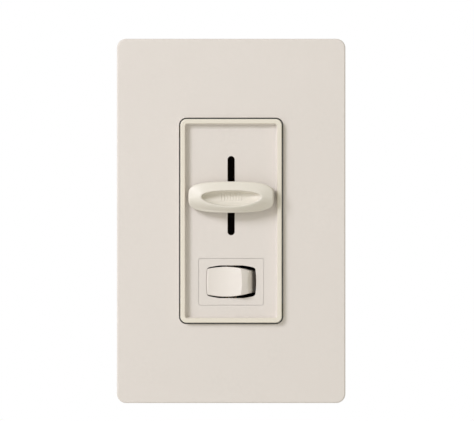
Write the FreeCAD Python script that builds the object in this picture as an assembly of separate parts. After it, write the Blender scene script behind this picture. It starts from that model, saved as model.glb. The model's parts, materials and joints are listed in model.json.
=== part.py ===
import FreeCAD, Part
import os
from math import cos, radians, sin, sqrt

# Slide dimmer with an on/off rocker, built as a wall device behind a screwless cover plate.
# Millimetres. +X is to the right, +Z is up, the front faces -Y and the wall surface is y = 0.
# The origin is midway between the two wall-box screws, in the wall surface.

Vector = FreeCAD.Vector
X_AXIS = Vector(1, 0, 0)
Y_AXIS = Vector(0, 1, 0)
Z_AXIS = Vector(0, 0, 1)
PAST = 1.0                      # how far a cutting tool runs past the face it opens
FAR = 60.0                      # longer than anything it is compared with
CLOSE = 1e-4                    # two positions this near are the same

# Cover plate
plate_width = 74.7
plate_height = 119.1
plate_corner_r = 3.0
plate_front_y = -7.6
plate_front_wall = 2.0
plate_side_wall = 1.6
plate_edge_round = 0.5
plate_opening_gap = 0.5
catch_reach = 0.8
catch_length = 10.0
catch_front_y = -1.4
catch_back_y = -0.6
catch_x = 18.0
catch_z = 35.0

# Adapter that the cover snaps on to, and its two screws
adapter_gap = 0.3
adapter_thickness = 1.6
adapter_rim_height = 1.6
adapter_rim_wall = 1.6
adapter_window_gap = 0.8
adapter_window_r = 2.6
screw_window_width = 12.0       # lets the box screws be reached
screw_window_height = 90.6
screw_window_r = 1.0
adapter_hole_r = 2.0
plate_screw_head_r = 2.9
plate_screw_head_height = 1.7
plate_screw_end_y = 2.5

# Strap and the standard screw centres of wall devices
box_screw_spacing = 83.34
plate_screw_spacing = 96.84
strap_thickness = 1.6
strap_width = 44.5
strap_body_height = 70.0
strap_corner_r = 1.5
strap_ear_width = 34.0
strap_ear_corner_r = 3.0
strap_length = 105.4
box_slot_width = 6.0
box_slot_height = 4.0
lever_window_width = 5.0
lever_window_spare = 6.0        # how much longer it is than the bezel's slot
hook_window_width = 4.6
hook_window_height = 2.8
hook_window_shift = 0.3

# Box screws, their retaining washers and the earth screw
thread_r = 1.75                 # number 6 machine screw
screw_hole_r = 1.7
screw_neck_r = 1.4
screw_thread_start_y = 0.7
screw_thread_end_y = 26.0
screw_tip_r = 0.9
screw_tip_length = 1.0
screw_head_r = 3.3
screw_head_height = 2.2
head_slot_width = 0.9
head_slot_share = 0.5           # of the head's height
head_round_share = 0.45
washer_r = 3.6
washer_thickness = 0.5
ground_x = -11.0
ground_z = -38.5
ground_head_r = 3.8
ground_head_start_y = 0.8
ground_head_height = 2.0

# Bezel: a raised rim round a recessed face
bezel_width = 33.1
bezel_height = 66.5
bezel_corner_r = 2.0
bezel_front_y = -9.4
bezel_floor_y = -7.4
bezel_floor_thickness = 1.4
bezel_rim_flat = 1.4
bezel_bevel = 0.55
bezel_mouth_r = 0.9
bezel_floor_r = 0.5
bezel_edge_round = 0.35
bezel_side_wall = 1.8
bezel_inside_r = 0.8

# Four snap hooks behind the bezel, through the strap
hook_x = 12.5
hook_z = 29.4
hook_width = 4.0
hook_stem = 1.6
hook_root = 2.0
hook_root_shift = 1.0
hook_root_end_y = -2.6
hook_end_y = 1.6
barb_height = 0.6
barb_shift = 1.1
barb_front_y = 0.2
barb_back_y = 1.2

# Slot, lever and knob of the slider
slot_width = 2.35
slot_length = 25.9
slot_z = 8.25
slider_z = 7.75                 # where the knob stands, a little below the middle of its slot
lever_width = 1.6
lever_height = 4.6
lever_front_y = -10.6
lever_foot_margin = 0.7
lever_foot_gap = 0.1
knob_width = 27.8
knob_height = 10.2
knob_end_height = 7.6
knob_end_bulge = 0.6
knob_back_y = -8.0
knob_front_y = -14.2
knob_corner_round = 2.4
knob_edge_round = 1.7
knob_back_round = 0.5
dish_length = 19.4
dish_height = 5.4
dish_depth = 1.8
dish_rib_count = 8
dish_rib_pitch = 0.94
dish_rib_height = 2.6
dish_rib_width = 0.45
dish_rib_stand = 0.35
dish_rib_root = 0.3

# Slide potentiometer
pot_width = 12.0
pot_length = 38.0
pot_front_y = 5.5
pot_back_y = 14.0
pot_cover_thickness = 0.5
pot_cover_slot_gap = 0.5
pot_wall = 1.2
pot_pin_x = 3.0
pot_pin_reach = 17.0
element_thickness = 0.8
carriage_width = 9.0
carriage_length = 8.0
carriage_front_y = 6.3
carriage_back_y = 9.6
carriage_round = 0.4
wiper_size = 7.0
wiper_thickness = 0.3
finger_x = 2.4
finger_shift = 2.6
finger_width = 1.2
finger_end_y = 11.6

# Rocker: a hollow face between two upright crests, with sides that roll off round a deep pivot
rocker_z = -19.9
pivot_depth = 8.6               # from the bezel's recessed face back to the pivot axis
rocker_swing = 12.0             # degrees each side of the middle
crest_x = 5.75                  # the crests, from the pivot, at the middle of the swing
crest_height = 10.2
crest_round = 1.0
face_sag = 0.85
side_r = 4.2
side_start = 22.0               # degrees the side already leans where it leaves the crest
side_end = 90.0                 # and where it ends
rocker_half_height = 4.88
rocker_crest_half_height = 4.24
rocker_rim_half_height = 4.35
rocker_rim_start_r = 9.4
rocker_rim_round = 0.8
rocker_edge_round = 0.3
rocker_gap = 0.22
rocker_back = 4.6
skirt_back = 0.8                # the sides run further back, to close the gap when a side is out
skirt_wall = 1.2
post_half_width = 2.4
post_end = 3.4
pin_r = 1.0
pin_clearance = 0.05
pin_end_gap = 0.2

# Frame that carries the rocker
opening_half_width = 8.2
opening_corner_half_width = 7.85
opening_half_height = 5.35
opening_corner_half_height = 4.6
opening_corner_r = 1.0
frame_front_width = 21.2
frame_front_height = 15.2
frame_corner_r = 0.6
frame_seam = 0.08
frame_back_width = 27.0
frame_back_height = 17.2
frame_cavity_half_height = 5.7
frame_lip = 0.8                 # thickness of the frame round its opening
frame_ear_half_width = 3.0
frame_ear_outer = 7.7
frame_ear_back_y = 3.2
window_width = 24.4             # the strap's opening for it
window_height = 15.8

# Sprung plunger in the rocker's post
plunger_r = 1.45
plunger_bore_r = 1.6
plunger_bore_depth = 3.0
plunger_start = 2.2
plunger_tip = 6.8
spring_r = 1.15
spring_wire_r = 0.18
spring_turns = 6
spring_length = 4.6
spring_start = -2.7

# Contact set behind the rocker
seesaw_swing = 7.0              # degrees each side of the middle
seesaw_front = 8.2
seesaw_thickness = 0.8
seesaw_half_length = 8.5
seesaw_half_width = 2.5
knuckle_r = 0.8
knuckle_y = 9.4
knuckle_clearance = 0.06
pad_r = 1.5
pad_thickness = 0.6
pad_x = 7.0
fixed_pad_y = 10.75
strip_thickness = 0.8
fixed_strip_x = 8.0
fixed_strip_length = 7.0
fixed_strip_height = 5.0
fixed_tail_x = 10.5
centre_strip_width = 3.6
centre_strip_height = 13.0
centre_tail_drop = 5.5
tail_length = 3.0
tail_thickness = 0.8
tail_hole_gap = 0.2

# Moulded base round the contact set
switch_base_half_width = 12.5
switch_base_half_height = 9.0
switch_base_front_y = 3.5
switch_base_wall = 1.0
stop_x = -7.5
stop_front_y = 10.3
stop_width = 3.0
stop_height = 6.0

# Power device on the back of the strap
triac_x = 13.5
triac_low_z = 0.0
triac_width = 10.2
triac_body_height = 9.2
triac_tab_height = 15.8
triac_tab_thickness = 1.3
triac_thickness = 4.4
triac_hole_z = triac_low_z + 12.9
triac_hole_r = 1.8
triac_lead_pitch = 2.54
triac_lead_width = 0.8
triac_lead_thickness = 0.5
triac_lead_y = 2.6
triac_lead_drop = 3.4
insulator_thickness = 0.25
insulator_margin = 1.0
triac_screw_r = 1.5
triac_screw_head_r = 2.8
triac_screw_head_height = 2.0
triac_screw_slot = 0.8

# Rear case and its four screws
case_width = 44.0
case_height = 66.0
case_depth = 30.0
case_wall = 2.0
case_corner_r = 2.0
case_edge_round = 1.0
boss_x = 18.2
boss_z = 29.2
boss_r = 3.2
boss_hole_end_y = 11.0
ledge_x = 19.3
ledge_z = 23.6
ledge_width = 1.8
ledge_height = 2.0
countersink_r = 2.4
countersink_depth = 1.0
housing_screw_end_y = 9.5
housing_screw_slot = 0.7
housing_slot_depth = 0.5

# Terminal pockets in the case's side, with their plates and binding screws
terminal_z = 14.0
terminal_y = 22.5
pocket_depth = 4.0
pocket_width = 10.0
pocket_wall = 1.5
pocket_front_y = 17.5
pocket_back_y = 27.5
pocket_front_wall = 1.4
screw_well_r = 2.2
screw_well_depth = 2.5
plate_thickness_x = 0.9
terminal_plate_height = 8.6
terminal_plate_front_gap = 0.3
terminal_plate_back_gap = 0.6
plate_tail_height = 3.0
plate_tail_start_y = 13.4
binding_head_r = 3.6
binding_head_height = 1.9
binding_slot_width = 1.0
binding_slot_depth = 0.9
binding_gap = 0.6               # room for a wire under each head
binding_reach = 3.0

# Circuit board and its spacers
board_width = 39.0
board_height = 61.0
board_front_y = 14.0
board_thickness = 1.6
board_corner_notch = 5.9
spacer_x = 16.5
spacer_z = 22.0
spacer_r = 2.2
spacer_hole_r = 1.2

# Parts on the circuit board
part_gap = 0.3                  # how far the boxed parts stand off the board
lead_r = 0.35
lead_hole_r = 0.55
elbow_swell = 1.2               # a bent lead is a little thicker at its elbow
lead_tail = 1.0
box_corner_r = 0.6
box_edge_round = 0.5
main_capacitor_size = (7.0, 18.0, 12.0)
main_capacitor_pitch = 15.0
main_capacitor_place = (-13.0, 8.0)
timing_capacitor_size = (5.0, 10.0, 9.0)
timing_capacitor_pitch = 7.5
timing_capacitor_place = (-10.0, 24.0)
axial_lift = 0.4
resistor_r = 1.6
resistor_length = 6.5
resistor_pitch = 10.0
resistor_places = [(8.6, 20.0), (12.4, 20.0)]
diac_r = 1.0
diac_length = 4.0
diac_pitch = 7.6
diac_place = (8.8, -5.0)
trim_place = (10.5, 5.0)
trim_size = 7.0
trim_height = 4.0
trim_pin_x = 2.5
trim_rotor_r = 2.4
trim_rotor_height = 0.8
trim_slot_length = 4.0
trim_slot_width = 0.8
choke_x = -9.0
choke_z = -13.0
choke_outer_r = 9.5
choke_inner_r = 4.5
choke_front_y = 18.0
choke_height = 7.0
winding_wall = 1.1
winding_gap = 0.05
winding_break = 3.6
choke_wire_r = 0.5
choke_wire_hole_r = 0.65
choke_lead_x = 2.3
choke_lead_z = 8.0

strap_front_y = -strap_thickness
board_back_y = board_front_y + board_thickness
pivot_y = bezel_floor_y + pivot_depth
bezel_under_y = bezel_floor_y + bezel_floor_thickness
recess_width = bezel_width - 2 * (bezel_rim_flat + bezel_bevel)
recess_height = bezel_height - 2 * (bezel_rim_flat + bezel_bevel)
pocket_floor_x = case_width / 2 - pocket_depth
terminal_plate_x = pocket_floor_x + plate_thickness_x / 2
fixed_strip_front_y = fixed_pad_y + pad_thickness
fixed_strip_back_y = fixed_strip_front_y + strip_thickness


def block(width, height, front_y, back_y, x=0.0, z=0.0):
    """A box centred on x and z, from front_y back to back_y."""
    corner = Vector(x - width / 2, front_y, z - height / 2)
    return Part.makeBox(width, back_y - front_y, height, corner)


def edges_along_y(shape):
    """The straight edges that run front to back."""
    found = []
    for edge in shape.Edges:
        box = edge.BoundBox
        if box.XLength < CLOSE and box.ZLength < CLOSE:
            found.append(edge)
    return found


def rounded_block(width, height, radius, front_y, back_y, x=0.0, z=0.0):
    """A box whose four front-to-back edges are rounded."""
    plain = block(width, height, front_y, back_y, x, z)
    return plain.makeFillet(radius, edges_along_y(plain))


def rod(radius, front_y, back_y, x=0.0, z=0.0):
    """A cylinder that runs front to back."""
    return Part.makeCylinder(radius, back_y - front_y, Vector(x, front_y, z), Y_AXIS)


def cross_rod(radius, start_x, end_x, y, z):
    """A cylinder that runs from left to right."""
    return Part.makeCylinder(radius, end_x - start_x, Vector(start_x, y, z), X_AXIS)


def upright_rod(radius, half_length, x, y, z):
    """A cylinder that runs up, centred on z."""
    return Part.makeCylinder(radius, 2 * half_length, Vector(x, y, z - half_length), Z_AXIS)


def obround(width, height, front_y, back_y, x=0.0, z=0.0):
    """A slot with round ends, long in x or in z."""
    radius = min(width, height) / 2
    half_x = width / 2 - radius
    half_z = height / 2 - radius
    middle_width = 2 * half_x if half_x else 2 * radius
    middle_height = 2 * half_z if half_z else 2 * radius
    body = block(middle_width, middle_height, front_y, back_y, x, z)
    first = rod(radius, front_y, back_y, x - half_x, z - half_z)
    last = rod(radius, front_y, back_y, x + half_x, z + half_z)
    return body.fuse([first, last]).removeSplitter()


def arc(first, middle, last):
    return Part.Arc(Vector(*first), Vector(*middle), Vector(*last)).toShape()


def line(first, last):
    return Part.makeLine(Vector(*first), Vector(*last))


def prism(edges, direction):
    """The solid swept by a closed flat outline."""
    return Part.Face(Part.Wire(edges)).extrude(direction)


def edges_in_plane_y(shape, y):
    found = []
    for edge in shape.Edges:
        box = edge.BoundBox
        if abs(box.YMin - y) < CLOSE and abs(box.YMax - y) < CLOSE:
            found.append(edge)
    return found


def four_corners(x, z):
    return [(sx * x, sz * z) for sx in (-1, 1) for sz in (-1, 1)]


def both_ends(spacing):
    return [-spacing / 2, spacing / 2]


# ---------------------------------------------------------------- cover plate and adapter

def wallplate_cover():
    shell = rounded_block(plate_width, plate_height, plate_corner_r, plate_front_y, 0)
    shell = shell.makeFillet(plate_edge_round, edges_in_plane_y(shell, plate_front_y))
    inner_width = plate_width - 2 * plate_side_wall
    inner_height = plate_height - 2 * plate_side_wall
    inner_r = plate_corner_r - plate_side_wall
    inner_front_y = plate_front_y + plate_front_wall
    shell = shell.cut(rounded_block(inner_width, inner_height, inner_r, inner_front_y, PAST))
    opening_r = bezel_corner_r + plate_opening_gap
    shell = shell.cut(rounded_block(bezel_width + 2 * plate_opening_gap, bezel_height + 2 * plate_opening_gap,
                                    opening_r, plate_front_y - PAST, 0))
    catches = []
    for side in (-1, 1):
        x = side * (inner_width - catch_reach) / 2
        z = side * (inner_height - catch_reach) / 2
        for place in (-catch_z, catch_z):
            catches.append(block(catch_reach, catch_length, catch_front_y, catch_back_y, x, place))
        for place in (-catch_x, catch_x):
            catches.append(block(catch_length, catch_reach, catch_front_y, catch_back_y, place, z))
    return shell.fuse(catches)


def wallplate_adapter():
    width = plate_width - 2 * (plate_side_wall + adapter_gap)
    height = plate_height - 2 * (plate_side_wall + adapter_gap)
    corner = plate_corner_r - plate_side_wall
    plate_y = strap_front_y - adapter_thickness
    rim_y = plate_y - adapter_rim_height
    body = rounded_block(width, height, corner, rim_y, strap_front_y)
    inside = block(width - 2 * adapter_rim_wall, height - 2 * adapter_rim_wall, rim_y - PAST, plate_y)
    body = body.cut(inside)
    body = body.cut(rounded_block(bezel_width + 2 * adapter_window_gap, bezel_height + 2 * adapter_window_gap,
                                  adapter_window_r, rim_y, 0))
    body = body.cut(rounded_block(screw_window_width, screw_window_height, screw_window_r, rim_y, 0))
    for z in both_ends(plate_screw_spacing):
        body = body.cut(rod(adapter_hole_r, rim_y, 0, 0, z))
    return body


def slotted_screw(head_r, head_height, shank_r, head_y, end_y, x=0.0, z=0.0):
    """A round-head screw whose head sits in front of head_y, with its shank running back to end_y."""
    top = head_y - head_height
    head = rod(head_r, top, head_y, x, z)
    head = head.makeFillet(head_height * head_round_share, edges_in_plane_y(head, top))
    slot = block(2 * head_r + PAST, head_slot_width, top - PAST, top + head_height * head_slot_share, x, z)
    return head.cut(slot).fuse(rod(shank_r, head_y, end_y, x, z))


def adapter_screws():
    seat = strap_front_y - adapter_thickness
    screws = []
    for z in both_ends(plate_screw_spacing):
        screws.append(slotted_screw(plate_screw_head_r, plate_screw_head_height, screw_hole_r, seat,
                                    plate_screw_end_y, 0, z))
    return screws


# ---------------------------------------------------------------- strap and its screws

def countersink(x, z):
    return Part.makeCone(countersink_r, screw_neck_r, countersink_depth, Vector(x, strap_front_y, z), Y_AXIS)


def mounting_strap():
    before = strap_front_y - PAST
    body = rounded_block(strap_width, strap_body_height, strap_corner_r, strap_front_y, 0)
    ears = rounded_block(strap_ear_width, strap_length, strap_ear_corner_r, strap_front_y, 0)
    body = body.fuse(ears).removeSplitter()
    body = body.cut(obround(lever_window_width, slot_length + lever_window_spare, before, PAST, 0, slot_z))
    body = body.cut(block(window_width, window_height, before, PAST, 0, rocker_z))
    for z in both_ends(box_screw_spacing):
        body = body.cut(obround(box_slot_width, box_slot_height, before, PAST, 0, z))
    for z in both_ends(plate_screw_spacing):
        body = body.cut(rod(screw_hole_r, before, PAST, 0, z))
    for x, z in four_corners(hook_x, hook_z + hook_window_shift):
        body = body.cut(block(hook_window_width, hook_window_height, before, PAST, x, z))
    for x, z in four_corners(boss_x, boss_z):
        body = body.cut(rod(screw_neck_r, before, PAST, x, z))
        body = body.cut(countersink(x, z))
    body = body.cut(rod(triac_screw_r, before, PAST, triac_x, triac_hole_z))
    return body.cut(rod(screw_hole_r, before, PAST, ground_x, ground_z))


def mounting_screws():
    screws = []
    for z in both_ends(box_screw_spacing):
        neck = slotted_screw(screw_head_r, screw_head_height, screw_neck_r, strap_front_y,
                             screw_thread_start_y, 0, z)
        thread = rod(thread_r, screw_thread_start_y, screw_thread_end_y, 0, z)
        tip = Part.makeCone(thread_r, screw_tip_r, screw_tip_length, Vector(0, screw_thread_end_y, z), Y_AXIS)
        screws.append(neck.fuse([thread, tip]))
    return screws


def retaining_washers():
    washers = []
    for z in both_ends(box_screw_spacing):
        disc = rod(washer_r, 0, washer_thickness, 0, z)
        washers.append(disc.cut(rod(screw_neck_r, -PAST, PAST + washer_thickness, 0, z)))
    return washers


def ground_screw():
    """A hexagonal earth screw on the back of the strap."""
    end = ground_head_start_y + ground_head_height
    corners = []
    for k in range(7):
        angle = radians(60 * k)
        x = ground_x + ground_head_r * cos(angle)
        z = ground_z + ground_head_r * sin(angle)
        corners.append(Vector(x, ground_head_start_y, z))
    head = Part.Face(Part.makePolygon(corners)).extrude(Y_AXIS * ground_head_height)
    slot_y = end - ground_head_height * head_slot_share
    head = head.cut(block(2 * ground_head_r + PAST, head_slot_width, slot_y, end + PAST, ground_x, ground_z))
    return rod(screw_hole_r, strap_front_y, ground_head_start_y, ground_x, ground_z).fuse(head)


# ---------------------------------------------------------------- bezel and slider

def rectangle_wire(width, height, radius, y):
    outline = rounded_block(width, height, radius, y, y + PAST)
    face = [f for f in outline.Faces if abs(f.BoundBox.YMax - y) < CLOSE][0]
    return face.OuterWire


def bezel_hook(x, z):
    """A stem through the strap, with a barb that catches behind it and a thicker root."""
    outward = 1 if z > 0 else -1
    stem = block(hook_width, hook_stem, bezel_under_y, hook_end_y, x, z)
    barb = block(hook_width, barb_height, barb_front_y, barb_back_y, x, z + outward * barb_shift)
    root = block(hook_width, hook_root, bezel_under_y, hook_root_end_y, x, z + outward * hook_root_shift)
    return [stem, barb, root]


def front_bezel():
    body = rounded_block(bezel_width, bezel_height, bezel_corner_r, bezel_front_y, strap_front_y)
    body = body.makeFillet(bezel_edge_round, edges_in_plane_y(body, bezel_front_y))
    mouth = rectangle_wire(recess_width + 2 * bezel_bevel, recess_height + 2 * bezel_bevel, bezel_mouth_r,
                           bezel_front_y)
    floor = rectangle_wire(recess_width, recess_height, bezel_floor_r, bezel_floor_y)
    body = body.cut(Part.makeLoft([mouth, floor], True, True))
    body = body.cut(rounded_block(bezel_width - 2 * bezel_side_wall, bezel_height - 2 * bezel_side_wall,
                                  bezel_inside_r, bezel_under_y, 0))
    body = body.cut(obround(slot_width, slot_length, bezel_front_y, bezel_under_y + PAST, 0, slot_z))
    body = body.cut(rounded_block(frame_front_width + 2 * frame_seam, frame_front_height + 2 * frame_seam,
                                  frame_corner_r + frame_seam, bezel_front_y, bezel_under_y + PAST,
                                  0, rocker_z))
    hooks = []
    for x, z in four_corners(hook_x, hook_z):
        hooks += bezel_hook(x, z)
    return body.fuse(hooks).removeSplitter()


def knob_outline(y):
    half = knob_width / 2
    shoulder = half - knob_end_bulge
    end = knob_end_height / 2
    corners = [(-shoulder, y, -end), (-shoulder, y, end), (shoulder, y, end), (shoulder, y, -end)]
    middles = [(-half, y, 0), (0, y, knob_height / 2), (half, y, 0), (0, y, -knob_height / 2)]
    return [arc(corners[k], middles[k], corners[(k + 1) % 4]) for k in range(4)]


def dish():
    """A pointed oval hollow: a spindle about the x axis, flattened front to back."""
    half = dish_length / 2
    edge = arc((-half, 0, 0), (0, 0, dish_height / 2), (half, 0, 0))
    outline = Part.Wire([edge, line((half, 0, 0), (-half, 0, 0))])
    spindle = Part.Face(outline).revolve(Vector(0, 0, 0), X_AXIS, 360)
    flatten = FreeCAD.Matrix()
    flatten.scale(1, dish_depth / (dish_height / 2), 1)
    return spindle.transformGeometry(flatten)


def slider_knob():
    body = prism(knob_outline(knob_front_y), Vector(0, knob_back_y - knob_front_y, 0))
    body = body.makeFillet(knob_corner_round, edges_along_y(body))
    body = body.makeFillet(knob_edge_round, edges_in_plane_y(body, knob_front_y))
    body = body.makeFillet(knob_back_round, edges_in_plane_y(body, knob_back_y))
    hollow = dish()
    hollow.translate(Vector(0, knob_front_y, 0))
    body = body.cut(hollow)
    body = body.cut(block(lever_width, lever_height, lever_front_y, knob_back_y + PAST))
    ribs = []
    for k in range(dish_rib_count):
        x = (k - (dish_rib_count - 1) / 2) * dish_rib_pitch
        floor_y = knob_front_y + dish_depth * (1 - (x / (dish_length / 2)) ** 2)
        rib_front_y = floor_y - dish_rib_stand
        ribs.append(block(dish_rib_width, dish_rib_height, rib_front_y, floor_y + dish_rib_root, x))
    body = body.fuse(ribs)
    body.translate(Vector(0, 0, slider_z))
    return body


def slider_lever():
    blade = block(lever_width, lever_height, lever_front_y, carriage_front_y, 0, slider_z)
    foot_front_y = pot_front_y + pot_cover_thickness + lever_foot_gap
    foot = block(lever_width + 2 * lever_foot_margin, lever_height + 2 * lever_foot_margin, foot_front_y,
                 carriage_front_y, 0, slider_z)
    return blade.fuse(foot).removeSplitter()


# ---------------------------------------------------------------- slide potentiometer

def pot_pin_places():
    low_z = slot_z - pot_pin_reach
    return [(-pot_pin_x, low_z), (pot_pin_x, low_z), (0.0, slot_z + pot_pin_reach)]


def pot_body():
    start = pot_front_y + pot_cover_thickness
    body = block(pot_width, pot_length, start, pot_back_y, 0, slot_z)
    body = body.cut(block(pot_width - 2 * pot_wall, pot_length - 2 * pot_wall, start - PAST,
                          pot_back_y - pot_wall, 0, slot_z))
    for x, z in pot_pin_places():
        body = body.cut(rod(lead_hole_r, pot_back_y - pot_wall - PAST, pot_back_y + PAST, x, z))
    return body


def pot_cover():
    plate = block(pot_width, pot_length, pot_front_y, pot_front_y + pot_cover_thickness, 0, slot_z)
    return plate.cut(obround(lever_width + 2 * pot_cover_slot_gap, slot_length + 2 * pot_cover_slot_gap,
                             pot_front_y - PAST, pot_front_y + PAST, 0, slot_z))


def pot_element():
    back = pot_back_y - pot_wall
    plate = block(pot_width - 2 * pot_wall, pot_length - 2 * pot_wall, back - element_thickness, back,
                  0, slot_z)
    for x, z in pot_pin_places():
        plate = plate.cut(rod(lead_r, back - PAST - element_thickness, back + PAST, x, z))
    return plate


def pot_carriage():
    body = block(carriage_width, carriage_length, carriage_front_y, carriage_back_y, 0, slider_z)
    return body.makeFillet(carriage_round, edges_along_y(body))


def pot_wiper():
    """A sprung strip with two fingers that stay just clear of the resistive track."""
    plate_back_y = carriage_back_y + wiper_thickness
    body = block(wiper_size, wiper_size, carriage_back_y, plate_back_y, 0, slider_z)
    fingers = []
    for x in (-finger_x, finger_x):
        z = slider_z + finger_shift
        fingers.append(block(finger_width, finger_width, plate_back_y, finger_end_y, x, z))
        fingers.append(cross_rod(wiper_thickness, x - finger_width / 2, x + finger_width / 2,
                                 finger_end_y, z))
    return body.fuse(fingers)


def pot_terminals():
    start = pot_back_y - pot_wall - element_thickness
    return [rod(lead_r, start, board_back_y + lead_tail, x, z) for x, z in pot_pin_places()]


# ---------------------------------------------------------------- rocker and its frame

def pivot_point(x, toward_viewer, z):
    """A point given from the rocker's pivot."""
    return (x, pivot_y - toward_viewer, rocker_z + z)


def about_pivot(shape, angle):
    """The shape turned about the rocker's pivot; a positive angle takes the right side in."""
    turned = shape.copy()
    turned.rotate(Vector(0, pivot_y, rocker_z), Z_AXIS, angle)
    return turned


def side_point(sign, lean):
    """A point of the rocker's rolled-off side, where the side leans by this many degrees."""
    centre_x = crest_x - side_r * sin(radians(side_start))
    centre_height = crest_height - side_r * cos(radians(side_start))
    x = centre_x + side_r * sin(radians(lean))
    return sign * x, centre_height + side_r * cos(radians(lean))


def rocker_profile(z):
    """The rocker seen from above, at the middle of its swing."""
    halfway = (side_start + side_end) / 2
    side_x, side_height = side_point(1, side_end)
    skirt_x = side_x - skirt_wall

    def at(x, height):
        return pivot_point(x, height, z)

    edges = [arc(at(-crest_x, crest_height), at(0, crest_height - face_sag), at(crest_x, crest_height))]
    for sign in (1, -1):
        edges.append(arc(at(sign * crest_x, crest_height), at(*side_point(sign, halfway)),
                         at(sign * side_x, side_height)))
        edges.append(line(at(sign * side_x, side_height), at(sign * side_x, skirt_back)))
        edges.append(line(at(sign * side_x, skirt_back), at(sign * skirt_x, skirt_back)))
        edges.append(line(at(sign * skirt_x, skirt_back), at(sign * skirt_x, rocker_back)))
        edges.append(line(at(sign * skirt_x, rocker_back), at(sign * post_half_width, rocker_back)))
        edges.append(line(at(sign * post_half_width, rocker_back), at(sign * post_half_width, -post_end)))
    edges.append(line(at(-post_half_width, -post_end), at(post_half_width, -post_end)))
    return Part.__sortEdges__(edges)


def drum(side_middle_r, side_end_r, side_half_height, cap_r, cap_half_height, rim_round):
    """A round body about the rocker's pivot: a bulging side and sloping caps that meet in a rounded rim."""
    low = pivot_point(0, 0, -cap_half_height)
    high = pivot_point(0, 0, cap_half_height)
    cap_low = pivot_point(cap_r, 0, -cap_half_height)
    cap_high = pivot_point(cap_r, 0, cap_half_height)
    side_low = pivot_point(side_end_r, 0, -side_half_height)
    side_high = pivot_point(side_end_r, 0, side_half_height)
    side = arc(side_low, pivot_point(side_middle_r, 0, 0), side_high)
    outline = [line(low, cap_low), line(cap_low, side_low), side, line(side_high, cap_high),
               line(cap_high, high), line(high, low)]
    body = Part.Face(Part.Wire(outline)).revolve(Vector(0, pivot_y, rocker_z), Z_AXIS, 360)
    rims = []
    for edge in body.Edges:
        box = edge.BoundBox
        if box.ZLength < CLOSE and abs(abs(box.ZMin - rocker_z) - side_half_height) < CLOSE:
            rims.append(edge)
    return body.makeFillet(rim_round, rims)


def opening_reach(half_width):
    """How far the edge of the frame's opening is from the pivot axis."""
    return sqrt(half_width ** 2 + pivot_depth ** 2)


def rocker_blank():
    """The rocker's outline seen from the front: curved above and below."""
    rise = rocker_half_height - rocker_crest_half_height
    radius = (crest_x ** 2 + rise ** 2) / (2 * rise)
    front_y = pivot_y - crest_height - PAST
    back_y = pivot_y + post_end + PAST
    upper = rod(radius, front_y, back_y, 0, rocker_z + rocker_half_height - radius)
    lower = rod(radius, front_y, back_y, 0, rocker_z - rocker_half_height + radius)
    return upper.common(lower)


def rocker_front_edges(body):
    """The edges between the rocker's face or sides and its curved top and bottom."""
    found = []
    for edge in body.Edges:
        box = edge.BoundBox
        in_front = box.YMax < pivot_y - rocker_back - PAST
        across = box.XLength > box.ZLength
        if in_front and across:
            found.append(edge)
    return found


def rocker():
    reach = rocker_half_height + PAST
    body = prism(rocker_profile(-reach), Vector(0, 0, 2 * reach))
    crest_y = pivot_y - crest_height
    body = body.makeFillet(crest_round, edges_in_plane_y(body, crest_y))
    body = body.common(rocker_blank())
    body = body.makeFillet(rocker_edge_round, rocker_front_edges(body))
    envelope = drum(opening_reach(opening_half_width) - rocker_gap,
                    opening_reach(opening_corner_half_width) - rocker_gap, rocker_rim_half_height,
                    rocker_rim_start_r, rocker_half_height + rocker_gap, rocker_rim_round)
    body = body.common(envelope)
    body = body.fuse(upright_rod(pin_r, frame_ear_outer - pin_end_gap, 0, pivot_y, rocker_z))
    bore = rod(plunger_bore_r, pivot_y - plunger_bore_depth, pivot_y + post_end + PAST, 0, rocker_z)
    return about_pivot(body.cut(bore), -rocker_swing)


def rocker_plunger():
    ball_y = pivot_y + plunger_tip - plunger_r
    straight = rod(plunger_r, pivot_y + plunger_start, ball_y, 0, rocker_z)
    ball = Part.makeSphere(plunger_r, Vector(0, ball_y, rocker_z))
    return about_pivot(straight.fuse(ball), -rocker_swing)


def plunger_spring():
    """A coil of round wire between the bore's end and the plunger."""
    path = Part.makeHelix(spring_length / spring_turns, spring_length, spring_r)
    section = Part.Wire(Part.makeCircle(spring_wire_r, Vector(spring_r, 0, 0), Y_AXIS))
    coil = Part.Wire(path.Edges).makePipeShell([section], True, True)
    coil.rotate(Vector(0, 0, 0), X_AXIS, -90)
    coil.translate(Vector(0, pivot_y + spring_start, rocker_z))
    return about_pivot(coil, -rocker_swing)


def frame_opening():
    """A four-sided opening whose sides all bulge and whose corners are rounded."""
    front_y = bezel_floor_y - PAST
    x = opening_corner_half_width
    z = opening_corner_half_height
    corners = [(-x, front_y, rocker_z - z), (-x, front_y, rocker_z + z),
               (x, front_y, rocker_z + z), (x, front_y, rocker_z - z)]
    middles = [(-opening_half_width, front_y, rocker_z), (0, front_y, rocker_z + opening_half_height),
               (opening_half_width, front_y, rocker_z), (0, front_y, rocker_z - opening_half_height)]
    outline = [arc(corners[k], middles[k], corners[(k + 1) % 4]) for k in range(4)]
    opening = prism(outline, Vector(0, -front_y, 0))
    return opening.makeFillet(opening_corner_r, edges_along_y(opening))


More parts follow.
